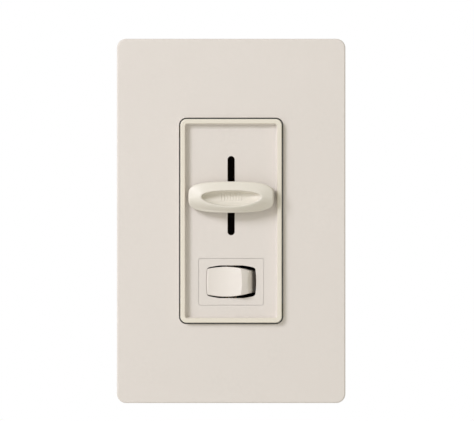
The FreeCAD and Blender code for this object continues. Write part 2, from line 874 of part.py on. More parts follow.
def switch_frame():
    body = rounded_block(frame_front_width, frame_front_height, frame_corner_r, bezel_floor_y, bezel_under_y,
                         0, rocker_z)
    body = body.fuse(block(frame_back_width, frame_back_height, bezel_under_y, strap_front_y, 0, rocker_z))
    ear_height = frame_ear_outer - frame_cavity_half_height
    ear_z = (frame_ear_outer + frame_cavity_half_height) / 2
    for side in (-1, 1):
        body = body.fuse(block(2 * frame_ear_half_width, ear_height, bezel_under_y, frame_ear_back_y, 0,
                               rocker_z + side * ear_z))
    body = body.cut(frame_opening())
    middle_r = opening_reach(opening_half_width)
    corner_r = opening_reach(opening_corner_half_width)
    sweep = drum(middle_r, corner_r, opening_corner_half_height, rocker_rim_start_r, opening_half_height,
                 opening_corner_r)
    body = body.cut(sweep.common(block(FAR, FAR, bezel_floor_y, FAR, 0, rocker_z)))
    chamber = upright_rod(middle_r, frame_cavity_half_height, 0, pivot_y, rocker_z)
    body = body.cut(chamber.common(block(FAR, FAR, bezel_floor_y + frame_lip, FAR, 0, rocker_z)))
    return body.cut(upright_rod(pin_r + pin_clearance, frame_ear_outer + PAST, 0, pivot_y, rocker_z))


# ---------------------------------------------------------------- contacts behind the rocker

def seesaw_turned(shape):
    """The shape turned about the seesaw's knuckle to where it stands at rest, its right side in."""
    turned = shape.copy()
    turned.rotate(Vector(0, knuckle_y, rocker_z), Z_AXIS, seesaw_swing)
    return turned


def seesaw_contact():
    strip = block(2 * seesaw_half_length, 2 * seesaw_half_width, seesaw_front,
                  seesaw_front + seesaw_thickness, 0, rocker_z)
    knuckle = upright_rod(knuckle_r, seesaw_half_width, 0, knuckle_y, rocker_z)
    return seesaw_turned(strip.fuse(knuckle))


def moving_contact_pad():
    start = seesaw_front + seesaw_thickness
    return seesaw_turned(rod(pad_r, start, start + pad_thickness, pad_x, rocker_z))


def fixed_contact_pad():
    return rod(pad_r, fixed_pad_y, fixed_strip_front_y, pad_x, rocker_z)


def fixed_contact():
    strip = block(fixed_strip_length, fixed_strip_height, fixed_strip_front_y, fixed_strip_back_y,
                  fixed_strip_x, rocker_z)
    tail = block(tail_thickness, tail_length, fixed_strip_back_y, board_back_y + lead_tail,
                 fixed_tail_x, rocker_z)
    return strip.fuse(tail)


def centre_terminal():
    """The strip that carries the seesaw in a grooved cradle."""
    strip = block(centre_strip_width, centre_strip_height, fixed_strip_front_y, fixed_strip_back_y,
                  0, rocker_z)
    cradle = block(centre_strip_width, 2 * seesaw_half_width, knuckle_y, fixed_strip_front_y, 0, rocker_z)
    groove = upright_rod(knuckle_r + knuckle_clearance, seesaw_half_width + PAST, 0, knuckle_y, rocker_z)
    tail = block(tail_length, tail_thickness, fixed_strip_back_y, board_back_y + lead_tail, 0,
                 rocker_z - centre_tail_drop)
    return strip.fuse([cradle.cut(groove), tail])


def switch_base():
    body = block(2 * switch_base_half_width, 2 * switch_base_half_height, switch_base_front_y, board_front_y,
                 0, rocker_z)
    inner_x = 2 * (switch_base_half_width - switch_base_wall)
    inner_z = 2 * (switch_base_half_height - switch_base_wall)
    body = body.cut(block(inner_x, inner_z, switch_base_front_y - PAST, fixed_strip_back_y, 0, rocker_z))
    body = body.fuse(block(stop_width, stop_height, stop_front_y, fixed_strip_back_y, stop_x, rocker_z))
    body = body.cut(block(tail_thickness, tail_length, fixed_strip_back_y - PAST, board_front_y + PAST,
                          fixed_tail_x, rocker_z))
    return body.cut(block(tail_length, tail_thickness, fixed_strip_back_y - PAST, board_front_y + PAST,
                          0, rocker_z - centre_tail_drop))


# ---------------------------------------------------------------- power device on the strap

def triac_lead_places():
    z = triac_low_z - triac_lead_drop + triac_lead_thickness / 2
    return [(triac_x + k * triac_lead_pitch, z) for k in (-1, 0, 1)]


def triac():
    """A tabbed package lying on the strap, its three leads bent back to the board."""
    tab_back_y = insulator_thickness + triac_tab_thickness
    tab = block(triac_width, triac_tab_height, insulator_thickness, tab_back_y, triac_x,
                triac_low_z + triac_tab_height / 2)
    tab = tab.cut(rod(triac_hole_r, 0, tab_back_y + PAST, triac_x, triac_hole_z))
    body = block(triac_width, triac_body_height, tab_back_y, insulator_thickness + triac_thickness, triac_x,
                 triac_low_z + triac_body_height / 2)
    leads = []
    for x, z in triac_lead_places():
        leads.append(block(triac_lead_width, triac_lead_drop, triac_lead_y,
                           triac_lead_y + triac_lead_thickness, x, triac_low_z - triac_lead_drop / 2))
        leads.append(block(triac_lead_width, triac_lead_thickness, triac_lead_y,
                           board_back_y + lead_tail, x, z))
    return tab.fuse([body] + leads)


def triac_insulator():
    plate = block(triac_width + 2 * insulator_margin, triac_tab_height + 2 * insulator_margin, 0,
                  insulator_thickness, triac_x, triac_low_z + triac_tab_height / 2)
    return plate.cut(rod(triac_screw_r, -PAST, PAST, triac_x, triac_hole_z))


def triac_screw():
    seat = insulator_thickness + triac_tab_thickness
    end = seat + triac_screw_head_height
    shank = rod(triac_screw_r, strap_front_y, seat, triac_x, triac_hole_z)
    head = rod(triac_screw_head_r, seat, end, triac_x, triac_hole_z)
    slot_floor_y = end - triac_screw_head_height * head_slot_share
    slot = block(2 * triac_screw_head_r + PAST, triac_screw_slot, slot_floor_y, end + PAST, triac_x,
                 triac_hole_z)
    return shank.fuse(head.cut(slot))


# ---------------------------------------------------------------- rear case and fasteners

def case_outside():
    body = rounded_block(case_width, case_height, case_corner_r, 0, case_depth)
    return body.makeFillet(case_edge_round, edges_in_plane_y(body, case_depth))


def back_housing():
    """A moulded case, open at the front, with screw bosses, board ledges and two terminal pockets."""
    inner_back_y = case_depth - case_wall
    body = case_outside()
    body = body.cut(rounded_block(case_width - 2 * case_wall, case_height - 2 * case_wall, case_wall / 2,
                                  -PAST, inner_back_y))
    for x, z in four_corners(boss_x, boss_z):
        body = body.fuse(rod(boss_r, 0, inner_back_y, x, z))
    for x, z in four_corners(ledge_x, ledge_z):
        body = body.fuse(block(ledge_width, ledge_height, board_back_y, inner_back_y, x, z))
    lining = pocket_depth + pocket_wall
    for z in (-terminal_z, terminal_z):
        body = body.fuse(block(lining, pocket_width + 2 * pocket_wall, pocket_front_y - pocket_front_wall,
                               inner_back_y, case_width / 2 - lining / 2, z))
    body = body.common(case_outside())
    for z in (-terminal_z, terminal_z):
        body = body.cut(block(pocket_depth + PAST, pocket_width, pocket_front_y, pocket_back_y,
                              pocket_floor_x + (pocket_depth + PAST) / 2, z))
        body = body.cut(cross_rod(screw_well_r, pocket_floor_x - screw_well_depth, pocket_floor_x + PAST,
                                  terminal_y, z))
        body = body.cut(block(plate_thickness_x, plate_tail_height, pocket_front_y - pocket_front_wall - PAST,
                              pocket_front_y + PAST, terminal_plate_x, z))
    for x, z in four_corners(boss_x, boss_z):
        body = body.cut(rod(screw_neck_r, -PAST, boss_hole_end_y, x, z))
    return body


def housing_screws():
    screws = []
    for x, z in four_corners(boss_x, boss_z):
        slot = block(2 * countersink_r + PAST, housing_screw_slot, strap_front_y - PAST,
                     strap_front_y + housing_slot_depth, x, z)
        shank = rod(screw_neck_r, strap_front_y + countersink_depth, housing_screw_end_y, x, z)
        screws.append(countersink(x, z).cut(slot).fuse(shank))
    return screws


def terminal_plates():
    plates = []
    front_y = pocket_front_y + terminal_plate_front_gap
    back_y = pocket_back_y - terminal_plate_back_gap
    for z in (-terminal_z, terminal_z):
        plate = block(plate_thickness_x, terminal_plate_height, front_y, back_y, terminal_plate_x, z)
        tail = block(plate_thickness_x, plate_tail_height, plate_tail_start_y, front_y, terminal_plate_x, z)
        hole = cross_rod(screw_hole_r, pocket_floor_x - PAST, pocket_floor_x + 2 * PAST, terminal_y, z)
        plates.append(plate.fuse(tail).cut(hole))
    return plates


def terminal_screws():
    """Binding screws, backed out so that a wire fits under each head."""
    screws = []
    head_x = pocket_floor_x + plate_thickness_x + binding_gap
    end_x = head_x + binding_head_height
    for z in (-terminal_z, terminal_z):
        shank = cross_rod(screw_hole_r, pocket_floor_x - binding_reach + binding_gap, head_x, terminal_y, z)
        head = cross_rod(binding_head_r, head_x, end_x, terminal_y, z)
        corner = Vector(end_x - binding_slot_depth, terminal_y - binding_slot_width / 2,
                        z - binding_head_r - PAST)
        slot = Part.makeBox(2 * PAST, binding_slot_width, 2 * (binding_head_r + PAST), corner)
        screws.append(shank.fuse(head.cut(slot)))
    return screws


# ---------------------------------------------------------------- circuit board and its parts

def pin_pair(place, pitch):
    """Where two leads pass through the board, one above the other."""
    x, z = place
    return [(x, z - pitch / 2), (x, z + pitch / 2)]


def boxed_capacitor(size, pitch, place):
    """A boxed part standing on the back of the board, with two leads through it."""
    width, height, depth = size
    x, z = place
    stand = board_back_y + part_gap
    end = board_back_y + depth
    body = rounded_block(width, height, box_corner_r, stand, end, x, z)
    body = body.makeFillet(box_edge_round, edges_in_plane_y(body, end))
    pins = [rod(lead_r, board_front_y - lead_tail, stand, px, pz) for px, pz in pin_pair(place, pitch)]
    return body.fuse(pins)


def main_capacitor():
    return boxed_capacitor(main_capacitor_size, main_capacitor_pitch, main_capacitor_place)


def timing_capacitor():
    return boxed_capacitor(timing_capacitor_size, timing_capacitor_pitch, timing_capacitor_place)


def axial_part(radius, length, pitch, place):
    """A tubular part lying upright above the board, with its leads bent down through it."""
    x, z = place
    y = board_back_y + radius + axial_lift
    pieces = [upright_rod(lead_r, pitch / 2, x, y, z)]
    for px, pz in pin_pair(place, pitch):
        pieces.append(rod(lead_r, board_front_y - lead_tail, y, px, pz))
        pieces.append(Part.makeSphere(lead_r * elbow_swell, Vector(px, y, pz)))
    return upright_rod(radius, length / 2, x, y, z).fuse(pieces)


def resistors():
    return [axial_part(resistor_r, resistor_length, resistor_pitch, place) for place in resistor_places]


def diac():
    return axial_part(diac_r, diac_length, diac_pitch, diac_place)


def choke_ring(gap):
    """The toroid, thicker all round by the gap."""
    front = choke_front_y - gap
    back = choke_front_y + choke_height + gap
    ring = rod(choke_outer_r + gap, front, back, choke_x, choke_z)
    return ring.cut(rod(choke_inner_r - gap, front - PAST, back + PAST, choke_x, choke_z))


def choke_core():
    return choke_ring(0)


def choke_lead_places():
    z = choke_z + choke_lead_z
    return [(choke_x - choke_lead_x, z), (choke_x + choke_lead_x, z)]


def choke_winding():
    """The space the wire takes round the core, open over a short arc, with its two ends to the board."""
    front = choke_front_y - winding_wall
    back = choke_front_y + choke_height + winding_wall
    sleeve = choke_ring(winding_wall).cut(choke_ring(winding_gap))
    open_arc = block(winding_break, choke_outer_r + 2 * winding_wall, front - PAST, back + PAST, choke_x,
                     choke_z + choke_outer_r)
    ends = [rod(choke_wire_r, board_front_y - lead_tail, front + winding_wall / 2, x, z)
            for x, z in choke_lead_places()]
    return sleeve.cut(open_arc).fuse(ends)


def trim_pot():
    x, z = trim_place
    top = board_back_y + trim_height
    end = top + trim_rotor_height
    body = block(trim_size, trim_size, board_back_y + part_gap, top, x, z)
    rotor = rod(trim_rotor_r, top, end, x, z)
    slot_floor_y = end - trim_rotor_height * head_slot_share
    slot = block(trim_slot_length, trim_slot_width, slot_floor_y, end + PAST, x, z)
    pins = []
    for side in (-trim_pin_x, trim_pin_x):
        pins.append(rod(lead_r, board_front_y - lead_tail, board_back_y + part_gap, x + side, z))
    return body.fuse([rotor.cut(slot)] + pins)


def board_holes():
    places = pot_pin_places() + triac_lead_places()
    places += pin_pair(main_capacitor_place, main_capacitor_pitch)
    places += pin_pair(timing_capacitor_place, timing_capacitor_pitch)
    for place in resistor_places:
        places += pin_pair(place, resistor_pitch)
    places += pin_pair(diac_place, diac_pitch)
    x, z = trim_place
    return places + [(x - trim_pin_x, z), (x + trim_pin_x, z)]


def circuit_board():
    before = board_front_y - PAST
    after = board_back_y + PAST
    body = block(board_width, board_height, board_front_y, board_back_y)
    for x, z in four_corners(board_width / 2, board_height / 2):
        body = body.cut(block(2 * board_corner_notch, 2 * board_corner_notch, before, after, x, z))
    for x, z in board_holes():
        body = body.cut(rod(lead_hole_r, before, after, x, z))
    for x, z in choke_lead_places():
        body = body.cut(rod(choke_wire_hole_r, before, after, x, z))
    wide = tail_thickness + 2 * tail_hole_gap
    long = tail_length + 2 * tail_hole_gap
    body = body.cut(block(wide, long, before, after, fixed_tail_x, rocker_z))
    body = body.cut(block(long, wide, before, after, 0, rocker_z - centre_tail_drop))
    for z in (-terminal_z, terminal_z):
        body = body.cut(block(plate_thickness_x + 2 * tail_hole_gap, plate_tail_height + 2 * tail_hole_gap,
                              before, after, terminal_plate_x, z))
    return body


def board_spacers():
    tubes = []
    for x, z in four_corners(spacer_x, spacer_z):
        tube = rod(spacer_r, 0, board_front_y, x, z)
        tubes.append(tube.cut(rod(spacer_hole_r, -PAST, board_front_y + PAST, x, z)))
    return tubes


def write(name, shape):
    """One STEP file for one named piece; a list becomes a group of separate solids."""
    solids = shape if isinstance(shape, list) else [shape]
    clean = [s.removeSplitter() for s in solids]
    whole = clean[0] if len(clean) == 1 else Part.makeCompound(clean)
    whole.exportStep("parts/" + name + ".step")
    print(name, "solids", len(whole.Solids), "valid", whole.isValid(), "volume", round(whole.Volume, 1))


def main():
    os.makedirs("parts", exist_ok=True)
    pieces = [wallplate_cover, wallplate_adapter, adapter_screws, mounting_strap, mounting_screws,
              retaining_washers, ground_screw, front_bezel, slider_knob, slider_lever, pot_body, pot_cover,
              pot_element, pot_carriage, pot_wiper, pot_terminals, rocker, rocker_plunger, plunger_spring,
              switch_frame, seesaw_contact, moving_contact_pad, fixed_contact_pad, fixed_contact,
              centre_terminal, switch_base, triac, triac_insulator, triac_screw, back_housing,
              housing_screws, terminal_plates, terminal_screws, choke_core, choke_winding, main_capacitor,
              timing_capacitor, resistors, diac, trim_pot, circuit_board, board_spacers]
    for make in pieces:
        write(make.__name__, make())


main()
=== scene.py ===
import json
import math

import bmesh
import bpy
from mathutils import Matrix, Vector


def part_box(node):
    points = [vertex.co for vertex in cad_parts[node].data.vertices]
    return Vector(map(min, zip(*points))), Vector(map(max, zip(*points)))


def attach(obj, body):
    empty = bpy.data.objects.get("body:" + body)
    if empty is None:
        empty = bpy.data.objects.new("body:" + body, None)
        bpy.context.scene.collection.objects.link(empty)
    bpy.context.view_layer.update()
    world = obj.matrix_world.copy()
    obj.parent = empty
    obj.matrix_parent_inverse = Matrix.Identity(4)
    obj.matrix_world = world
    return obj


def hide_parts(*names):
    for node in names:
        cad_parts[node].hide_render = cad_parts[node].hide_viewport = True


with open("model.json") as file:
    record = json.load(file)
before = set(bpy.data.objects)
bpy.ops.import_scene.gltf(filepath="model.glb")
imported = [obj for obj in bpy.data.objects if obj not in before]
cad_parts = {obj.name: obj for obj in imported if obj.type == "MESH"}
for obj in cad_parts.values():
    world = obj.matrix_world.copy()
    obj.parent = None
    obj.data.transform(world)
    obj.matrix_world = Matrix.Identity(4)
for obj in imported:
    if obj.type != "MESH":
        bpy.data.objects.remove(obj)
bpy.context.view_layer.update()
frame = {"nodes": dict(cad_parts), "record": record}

MM = 0.001
KNOB_NODE = "slider_knob"
LEVER_NODE = "slider_lever"


def linear(*colour):
    """An sRGB colour, 0 to 255, as linear light."""
    shares = [c / 255 for c in colour]
    return tuple(((c + 0.055) / 1.055) ** 2.4 if c > 0.04045 else c / 12.92 for c in shares)


# ---------------------------------------------------------------- materials

DRIFT_MM = 22.0                 # the plastic's slow changes of colour
SPECK_MM = 1.3
GLOSS_MM = 3.0
FLOW_MM = 9.0
FLOW_DEPTH_MM = 0.02
PLASTIC_SPECULAR = 0.42
COAT_ROUGHNESS = 0.30
STAIN_MM = 5.0                  # the metals' patches of tarnish
STAIN_LIMITS = (0.42, 0.72)     # of the noise, from clean to stained
TRACK_SCALE = 90.0              # the board's tracks
TRACK_WIDTH = 0.03
TRACK_DEPTH_MM = 0.03
WEAVE_DEPTH_MM = 0.01


def start_material(name):
    material = bpy.data.materials.new(name)
    material.use_nodes = True
    tree = material.node_tree
    tree.nodes.clear()
    output = tree.nodes.new("ShaderNodeOutputMaterial")
    shader = tree.nodes.new("ShaderNodeBsdfPrincipled")
    tree.links.new(shader.outputs["BSDF"], output.inputs["Surface"])
    return material, tree, shader


def stretched_coordinates(tree, stretch=(1, 1, 1)):
    """The object's own coordinates in metres, scaled along each axis."""
    place = tree.nodes.new("ShaderNodeTexCoord")
    mapping = tree.nodes.new("ShaderNodeMapping")
    mapping.inputs["Scale"].default_value = stretch
    tree.links.new(place.outputs["Object"], mapping.inputs["Vector"])
    return mapping.outputs["Vector"]


def noise(tree, grain_mm, detail=3.0, stretch=(1, 1, 1)):
    """Noise with features of about grain_mm."""
    node = tree.nodes.new("ShaderNodeTexNoise")
    node.inputs["Scale"].default_value = 1 / (grain_mm * MM)
    node.inputs["Detail"].default_value = detail
    tree.links.new(stretched_coordinates(tree, stretch), node.inputs["Vector"])
    return node.outputs["Fac"]


def spread(tree, value, low, high, start=0.3, end=0.7):
    """A value between start and end, spread over low to high."""
    node = tree.nodes.new("ShaderNodeMapRange")
    node.inputs["From Min"].default_value = start
    node.inputs["From Max"].default_value = end
    node.inputs["To Min"].default_value = low
    node.inputs["To Max"].default_value = high
    tree.links.new(value, node.inputs["Value"])
    return node.outputs["Result"]


def blend_colours(tree, value, first, second):
    """A colour between two others, each given as a tuple or as a node's output."""
    node = tree.nodes.new("ShaderNodeMix")
    node.data_type = "RGBA"
    tree.links.new(value, node.inputs["Factor"])
    for socket, colour in ((node.inputs[6], first), (node.inputs[7], second)):
        if isinstance(colour, tuple):
            socket.default_value = (*colour[:3], 1)
        else:
            tree.links.new(colour, socket)
    return node.outputs[2]


def bump(tree, shader, layers):
    """Stacks bumps; each layer is (height value, strength, depth in mm)."""
    normal = None
    for height, strength, depth_mm in layers:
        node = tree.nodes.new("ShaderNodeBump")
        node.inputs["Strength"].default_value = strength
        node.inputs["Distance"].default_value = depth_mm * MM
        tree.links.new(height, node.inputs["Height"])
        if normal is not None:
            tree.links.new(normal, node.inputs["Normal"])
        normal = node.outputs["Normal"]
    tree.links.new(normal, shader.inputs["Normal"])


def shade(colour, factor):
    return tuple(min(1.0, c * factor) for c in colour)


def moulded_plastic(name, colour, rough=(0.40, 0.50), grain_mm=0.35, grain_depth=0.004, variation=0.02,
                    sheen=0.0, rim=None):
    """Satin injection-moulded plastic: spark-eroded grain, slow flow marks and a little colour drift.

    Where a rim is given, as (colour, front y, back y), the surface takes that colour in front of those
    depths: a painted highlight, lighter and yellower, for the light on a raised rim.
    """
    material, tree, shader = start_material(name)
    drift = spread(tree, noise(tree, DRIFT_MM), 0, 1)
    speck = spread(tree, noise(tree, SPECK_MM, 5.0), 0, 1)
    broad = blend_colours(tree, drift, shade(colour, 1 - variation), shade(colour, 1 + variation))
    fine = blend_colours(tree, drift, shade(colour, 1 + variation / 2), shade(colour, 1 - variation / 2))
    surface = blend_colours(tree, speck, broad, fine)
    if rim:
        # painted highlight: surfaces in front of the rim depths take a lighter, yellower colour for the light
        # falling on the raised rim
        rim_highlight_colour, rim_front, rim_back = rim
        split = tree.nodes.new("ShaderNodeSeparateXYZ")
        tree.links.new(stretched_coordinates(tree), split.inputs["Vector"])
        rim_highlight_mask = spread(tree, split.outputs["Y"], 1, 0, rim_front, rim_back)
        surface = blend_colours(tree, rim_highlight_mask, surface, rim_highlight_colour)
    tree.links.new(surface, shader.inputs["Base Color"])
    tree.links.new(spread(tree, noise(tree, GLOSS_MM, 4.0), *rough), shader.inputs["Roughness"])
    shader.inputs["Specular IOR Level"].default_value = PLASTIC_SPECULAR
    if sheen:
        shader.inputs["Coat Weight"].default_value = sheen
        shader.inputs["Coat Roughness"].default_value = COAT_ROUGHNESS
    bump(tree, shader, [(noise(tree, grain_mm, 2.0), 0.5, grain_depth),
                        (noise(tree, FLOW_MM, 1.0), 0.35, FLOW_DEPTH_MM)])
    return material


def worked_metal(name, colour, rough=(0.28, 0.42), stretch=(1, 1, 1), grain_mm=0.6, tarnish=None):
    """Bare metal with drawn or stamped grain, and patches of tarnish or of a darker shade."""
    material, tree, shader = start_material(name)
    grain = noise(tree, grain_mm, 4.0, stretch)
    stain = spread(tree, noise(tree, STAIN_MM, 5.0), 0, 1, *STAIN_LIMITS)
    clean = blend_colours(tree, spread(tree, grain, 0, 1), shade(colour, 0.9), shade(colour, 1.06))
    base = blend_colours(tree, stain, clean, tarnish or shade(colour, 0.86))
    tree.links.new(base, shader.inputs["Base Color"])
    shader.inputs["Metallic"].default_value = 1.0
    tree.links.new(spread(tree, grain, *rough), shader.inputs["Roughness"])
    bump(tree, shader, [(grain, 0.4, 0.004)])
    return material


def board_laminate(name):
    """Laminate under a green coat, with paler tracks in two directions."""
    material, tree, shader = start_material(name)
    brick = tree.nodes.new("ShaderNodeTexBrick")
    split = tree.nodes.new("ShaderNodeSeparateXYZ")
    join = tree.nodes.new("ShaderNodeCombineXYZ")
    tree.links.new(stretched_coordinates(tree), split.inputs["Vector"])
    tree.links.new(split.outputs["X"], join.inputs["X"])
    tree.links.new(split.outputs["Z"], join.inputs["Y"])
    tree.links.new(join.outputs["Vector"], brick.inputs["Vector"])
    brick.inputs["Scale"].default_value = TRACK_SCALE
    brick.inputs["Mortar Size"].default_value = TRACK_WIDTH
    brick.inputs["Color1"].default_value = (*linear(44, 104, 58), 1)
    brick.inputs["Color2"].default_value = (*linear(38, 92, 52), 1)
    brick.inputs["Mortar"].default_value = (*linear(104, 158, 90), 1)
    weave = spread(tree, noise(tree, 0.5, 2.0), 0, 1)
    base = blend_colours(tree, weave, brick.outputs["Color"], linear(48, 98, 54))
    tree.links.new(base, shader.inputs["Base Color"])
    tree.links.new(spread(tree, noise(tree, 2.0), 0.28, 0.42), shader.inputs["Roughness"])
    bump(tree, shader, [(brick.outputs["Fac"], 0.4, TRACK_DEPTH_MM),
                        (noise(tree, 0.4, 1.0), 0.3, WEAVE_DEPTH_MM)])
    return material


ALMOND = linear(224, 217, 210)
# painted highlight: the bezel's raised rim, lighter and yellower than the almond plastic, for the light
# falling on it
ALMOND_RIM_PAINTED_HIGHLIGHT = linear(229, 222, 207)
ALMOND_GLOSS = linear(227, 221, 209)
ROCKER_ALMOND = linear(228, 221, 213)

materials = {
    "almond_cover": moulded_plastic("almond_cover", ALMOND),
    "almond_insert": moulded_plastic("almond_insert", ALMOND),
    # the bezel's colour in front of y -8.6 to -9.2 mm is a painted highlight on its raised rim
    "almond_bezel": moulded_plastic("almond_bezel", ALMOND, rough=(0.36, 0.46),
                                    rim=(ALMOND_RIM_PAINTED_HIGHLIGHT, -9.2 * MM, -8.6 * MM)),
    "almond_rocker": moulded_plastic("almond_rocker", ROCKER_ALMOND, rough=(0.30, 0.40)),
    "almond_knob": moulded_plastic("almond_knob", ALMOND_GLOSS, rough=(0.34, 0.42), grain_depth=0.002,
                                   sheen=0.05),
    "adapter_plastic": moulded_plastic("adapter_plastic", linear(222, 214, 198), rough=(0.45, 0.6)),
    "white_plastic": moulded_plastic("white_plastic", linear(232, 230, 222), rough=(0.4, 0.55)),
    "black_plastic": moulded_plastic("black_plastic", linear(22, 21, 21), rough=(0.45, 0.6),
                                     variation=0.15),
    "case_plastic": moulded_plastic("case_plastic", linear(30, 30, 32), rough=(0.42, 0.58), grain_mm=0.5,
                                    grain_depth=0.01, variation=0.12),
    "fibre": moulded_plastic("fibre", linear(128, 52, 34), rough=(0.7, 0.85), grain_mm=0.2,
                             variation=0.15),
    "thermal_pad": moulded_plastic("thermal_pad", linear(150, 156, 154), rough=(0.6, 0.75)),
    "triac_case": moulded_plastic("triac_case", linear(26, 26, 27), rough=(0.5, 0.65), variation=0.12),
    "resistive_board": moulded_plastic("resistive_board", linear(92, 66, 40), rough=(0.4, 0.6),
                                       variation=0.1),
    "iron_powder": moulded_plastic("iron_powder", linear(214, 196, 60), rough=(0.35, 0.5),
                                   variation=0.06),
    "capacitor_case": moulded_plastic("capacitor_case", linear(222, 190, 62), rough=(0.2, 0.32),
                                      variation=0.04),
    "capacitor_film": moulded_plastic("capacitor_film", linear(150, 52, 30), rough=(0.2, 0.3),
                                      variation=0.08),
    "resistor_body": moulded_plastic("resistor_body", linear(206, 178, 136), rough=(0.3, 0.4),
                                     variation=0.05),
    "diac_glass": moulded_plastic("diac_glass", linear(40, 72, 128), rough=(0.08, 0.16), variation=0.05,
                                  sheen=0.6),
    "trim_blue": moulded_plastic("trim_blue", linear(38, 84, 170), rough=(0.35, 0.45), variation=0.05),
    "board_laminate": board_laminate("board_laminate"),
    "strap_aluminium": worked_metal("strap_aluminium", linear(205, 207, 210), stretch=(1, 1, 0.03),
                                    grain_mm=0.25),
    "zinc_steel": worked_metal("zinc_steel", linear(196, 196, 190), tarnish=linear(190, 182, 150)),
    "green_screw": worked_metal("green_screw", linear(36, 140, 66), rough=(0.3, 0.45),
                                tarnish=linear(24, 104, 50)),
    "brass_screw": worked_metal("brass_screw", linear(224, 184, 104), tarnish=linear(178, 132, 66)),
    "brass_strip": worked_metal("brass_strip", linear(222, 180, 104), stretch=(1, 1, 0.1),
                                tarnish=linear(184, 138, 72)),
    "spring_bronze": worked_metal("spring_bronze", linear(206, 150, 96), tarnish=linear(170, 110, 66)),
    "spring_steel": worked_metal("spring_steel", linear(172, 174, 178)),
    "silver_pad": worked_metal("silver_pad", linear(228, 228, 226), rough=(0.18, 0.3)),
    "tinned_wire": worked_metal("tinned_wire", linear(208, 208, 204), rough=(0.25, 0.4)),
    "enamelled_copper": worked_metal("enamelled_copper", linear(196, 104, 62), rough=(0.18, 0.3),
                                     tarnish=linear(168, 78, 44)),
}


def paint_cad_nodes():
    """Gives every CAD node its slot's material."""
    for part in frame["record"]["subparts"]:
        node = frame["nodes"][part["node"]]
        node.data.materials.clear()
        node.data.materials.append(materials[part["material_slot"]])


# ---------------------------------------------------------------- mesh helpers

def piece_from(name, points, faces, body, material_slot):
    """A new smooth-shaded mesh piece, in metres, that rides on a body."""
    mesh = bpy.data.meshes.new(name)
    mesh.from_pydata([tuple(p) for p in points], [], faces)
    mesh.update()
    piece = bpy.data.objects.new(name, mesh)
    bpy.context.scene.collection.objects.link(piece)
    mesh.materials.append(materials[material_slot])
    tidy = bmesh.new()
    tidy.from_mesh(mesh)
    bmesh.ops.remove_doubles(tidy, verts=tidy.verts, dist=1e-7)
    bmesh.ops.recalc_face_normals(tidy, faces=tidy.faces)
    tidy.to_mesh(mesh)
    tidy.free()
    for polygon in mesh.polygons:
        polygon.use_smooth = True
    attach(piece, body)
    return piece


def joined_rings(rings):
    """Points and faces of a skin through rings with equal numbers of points."""
    count = len(rings[0])
    points = [p for ring in rings for p in ring]
    faces = []
    for start in range(0, len(points) - count, count):
        for k in range(count):
            a, b = start + k, start + (k + 1) % count
            faces.append((a, b, b + count, a + count))
    return points, faces


def closed_skin(rings):
    """The same, with a face across the first ring and across the last."""
    points, faces = joined_rings(rings)
    count = len(rings[0])
    faces.append(tuple(range(count)))
    faces.append(tuple(range(len(points) - count, len(points))))
    return points, faces


# ---------------------------------------------------------------- slider knob

KNOB_STEPS = 240
KNOB_END_POWER = 2.7            # of the outline's oval
KNOB_SIDE_POWER = 4.0           # a higher power makes blunter ends
KNOB_BACK_ROUND = 0.5 * MM
BACK_RINGS = 4
KNOB_EDGE_ROUND = 0.9 * MM
KNOB_TURN_SHARE = 0.78          # of a quarter turn, where the edge meets the slope
EDGE_RINGS = 8
KNOB_END_SLOPE = 0.36           # how steeply the front falls away from the hollow
KNOB_UPPER_SLOPE = 0.28
KNOB_LOWER_SLOPE = 2.1
SLOPE_BLEND = 0.35 * MM
LOWER_BLEND = 1.2 * MM          # a longer blend makes the lower rim rounder
SLOPE_RINGS = 8
DISH_HALF = 9.6 * MM
DISH_TIP_Z = 0.05 * MM          # the hollow's tips, above the knob's middle
DISH_UP = 2.1 * MM
DISH_DOWN = 3.05 * MM
DISH_UPPER_POWER = 2.3
DISH_LOWER_POWER = 1.8
DISH_UPPER_WALL = 0.25          # a lower power makes a steeper wall
DISH_LOWER_RAMP = 0.58
DISH_DEEP = 2.4 * MM
DISH_ALONG_POWER = 4.0
DISH_TIP_WALL = 0.4
DISH_RINGS = 20
DISH_RING_POWER = 0.8           # spaces the rings, closest together near the edge
RIB_COUNT = 8
RIB_PITCH = 0.94 * MM
RIB_CENTRE_Z = 0.2 * MM
RIB_HALF_HEIGHT = 1.3 * MM
RIB_HALF_WIDTH = 0.20 * MM
RIB_STAND = 0.18 * MM
RIB_ROOT = 0.05 * MM            # how far the ribs reach into the hollow's floor
RIB_END_SHARE = 0.05            # of the stand, left at a rib's two ends
RIB_STEPS = 12
RIB_SIDES = 8


def even_points(outline, count):
    """The closed outline again, with count points equally far apart."""
    closed = outline + outline[:1]
    lengths = [math.dist(a, b) for a, b in zip(closed, closed[1:])]
    total = sum(lengths)
    result, piece, travelled = [], 0, 0.0
    for k in range(count):
        wanted = total * k / count
        while travelled + lengths[piece] < wanted:
            travelled += lengths[piece]
            piece += 1
        share = (wanted - travelled) / lengths[piece]
        a, b = closed[piece], closed[piece + 1]
        result.append((a[0] + (b[0] - a[0]) * share, a[1] + (b[1] - a[1]) * share))
    return result


def inset(outline, distance):
    """The closed outline moved inward along its normals."""
    count = len(outline)
    moved = []
    for k in range(count):
        (ax, az), (bx, bz) = outline[k - 1], outline[(k + 1) % count]
        tx, tz = bx - ax, bz - az
        length = math.hypot(tx, tz)
        moved.append((outline[k][0] + tz / length * distance, outline[k][1] - tx / length * distance))
    return moved


def half_oval(half_width, reach, end_power, side_power, count, upper):
    """Points of half an oval from one tip to the other, closer together near the tips."""
    sign = 1 if upper else -1
    points = []
    for k in range(count):
        x = -sign * half_width * math.cos(math.pi * k / count)
        z = reach * max(0.0, 1 - abs(x / half_width) ** end_power) ** (1 / side_power)
        points.append((x, sign * z))
    return points


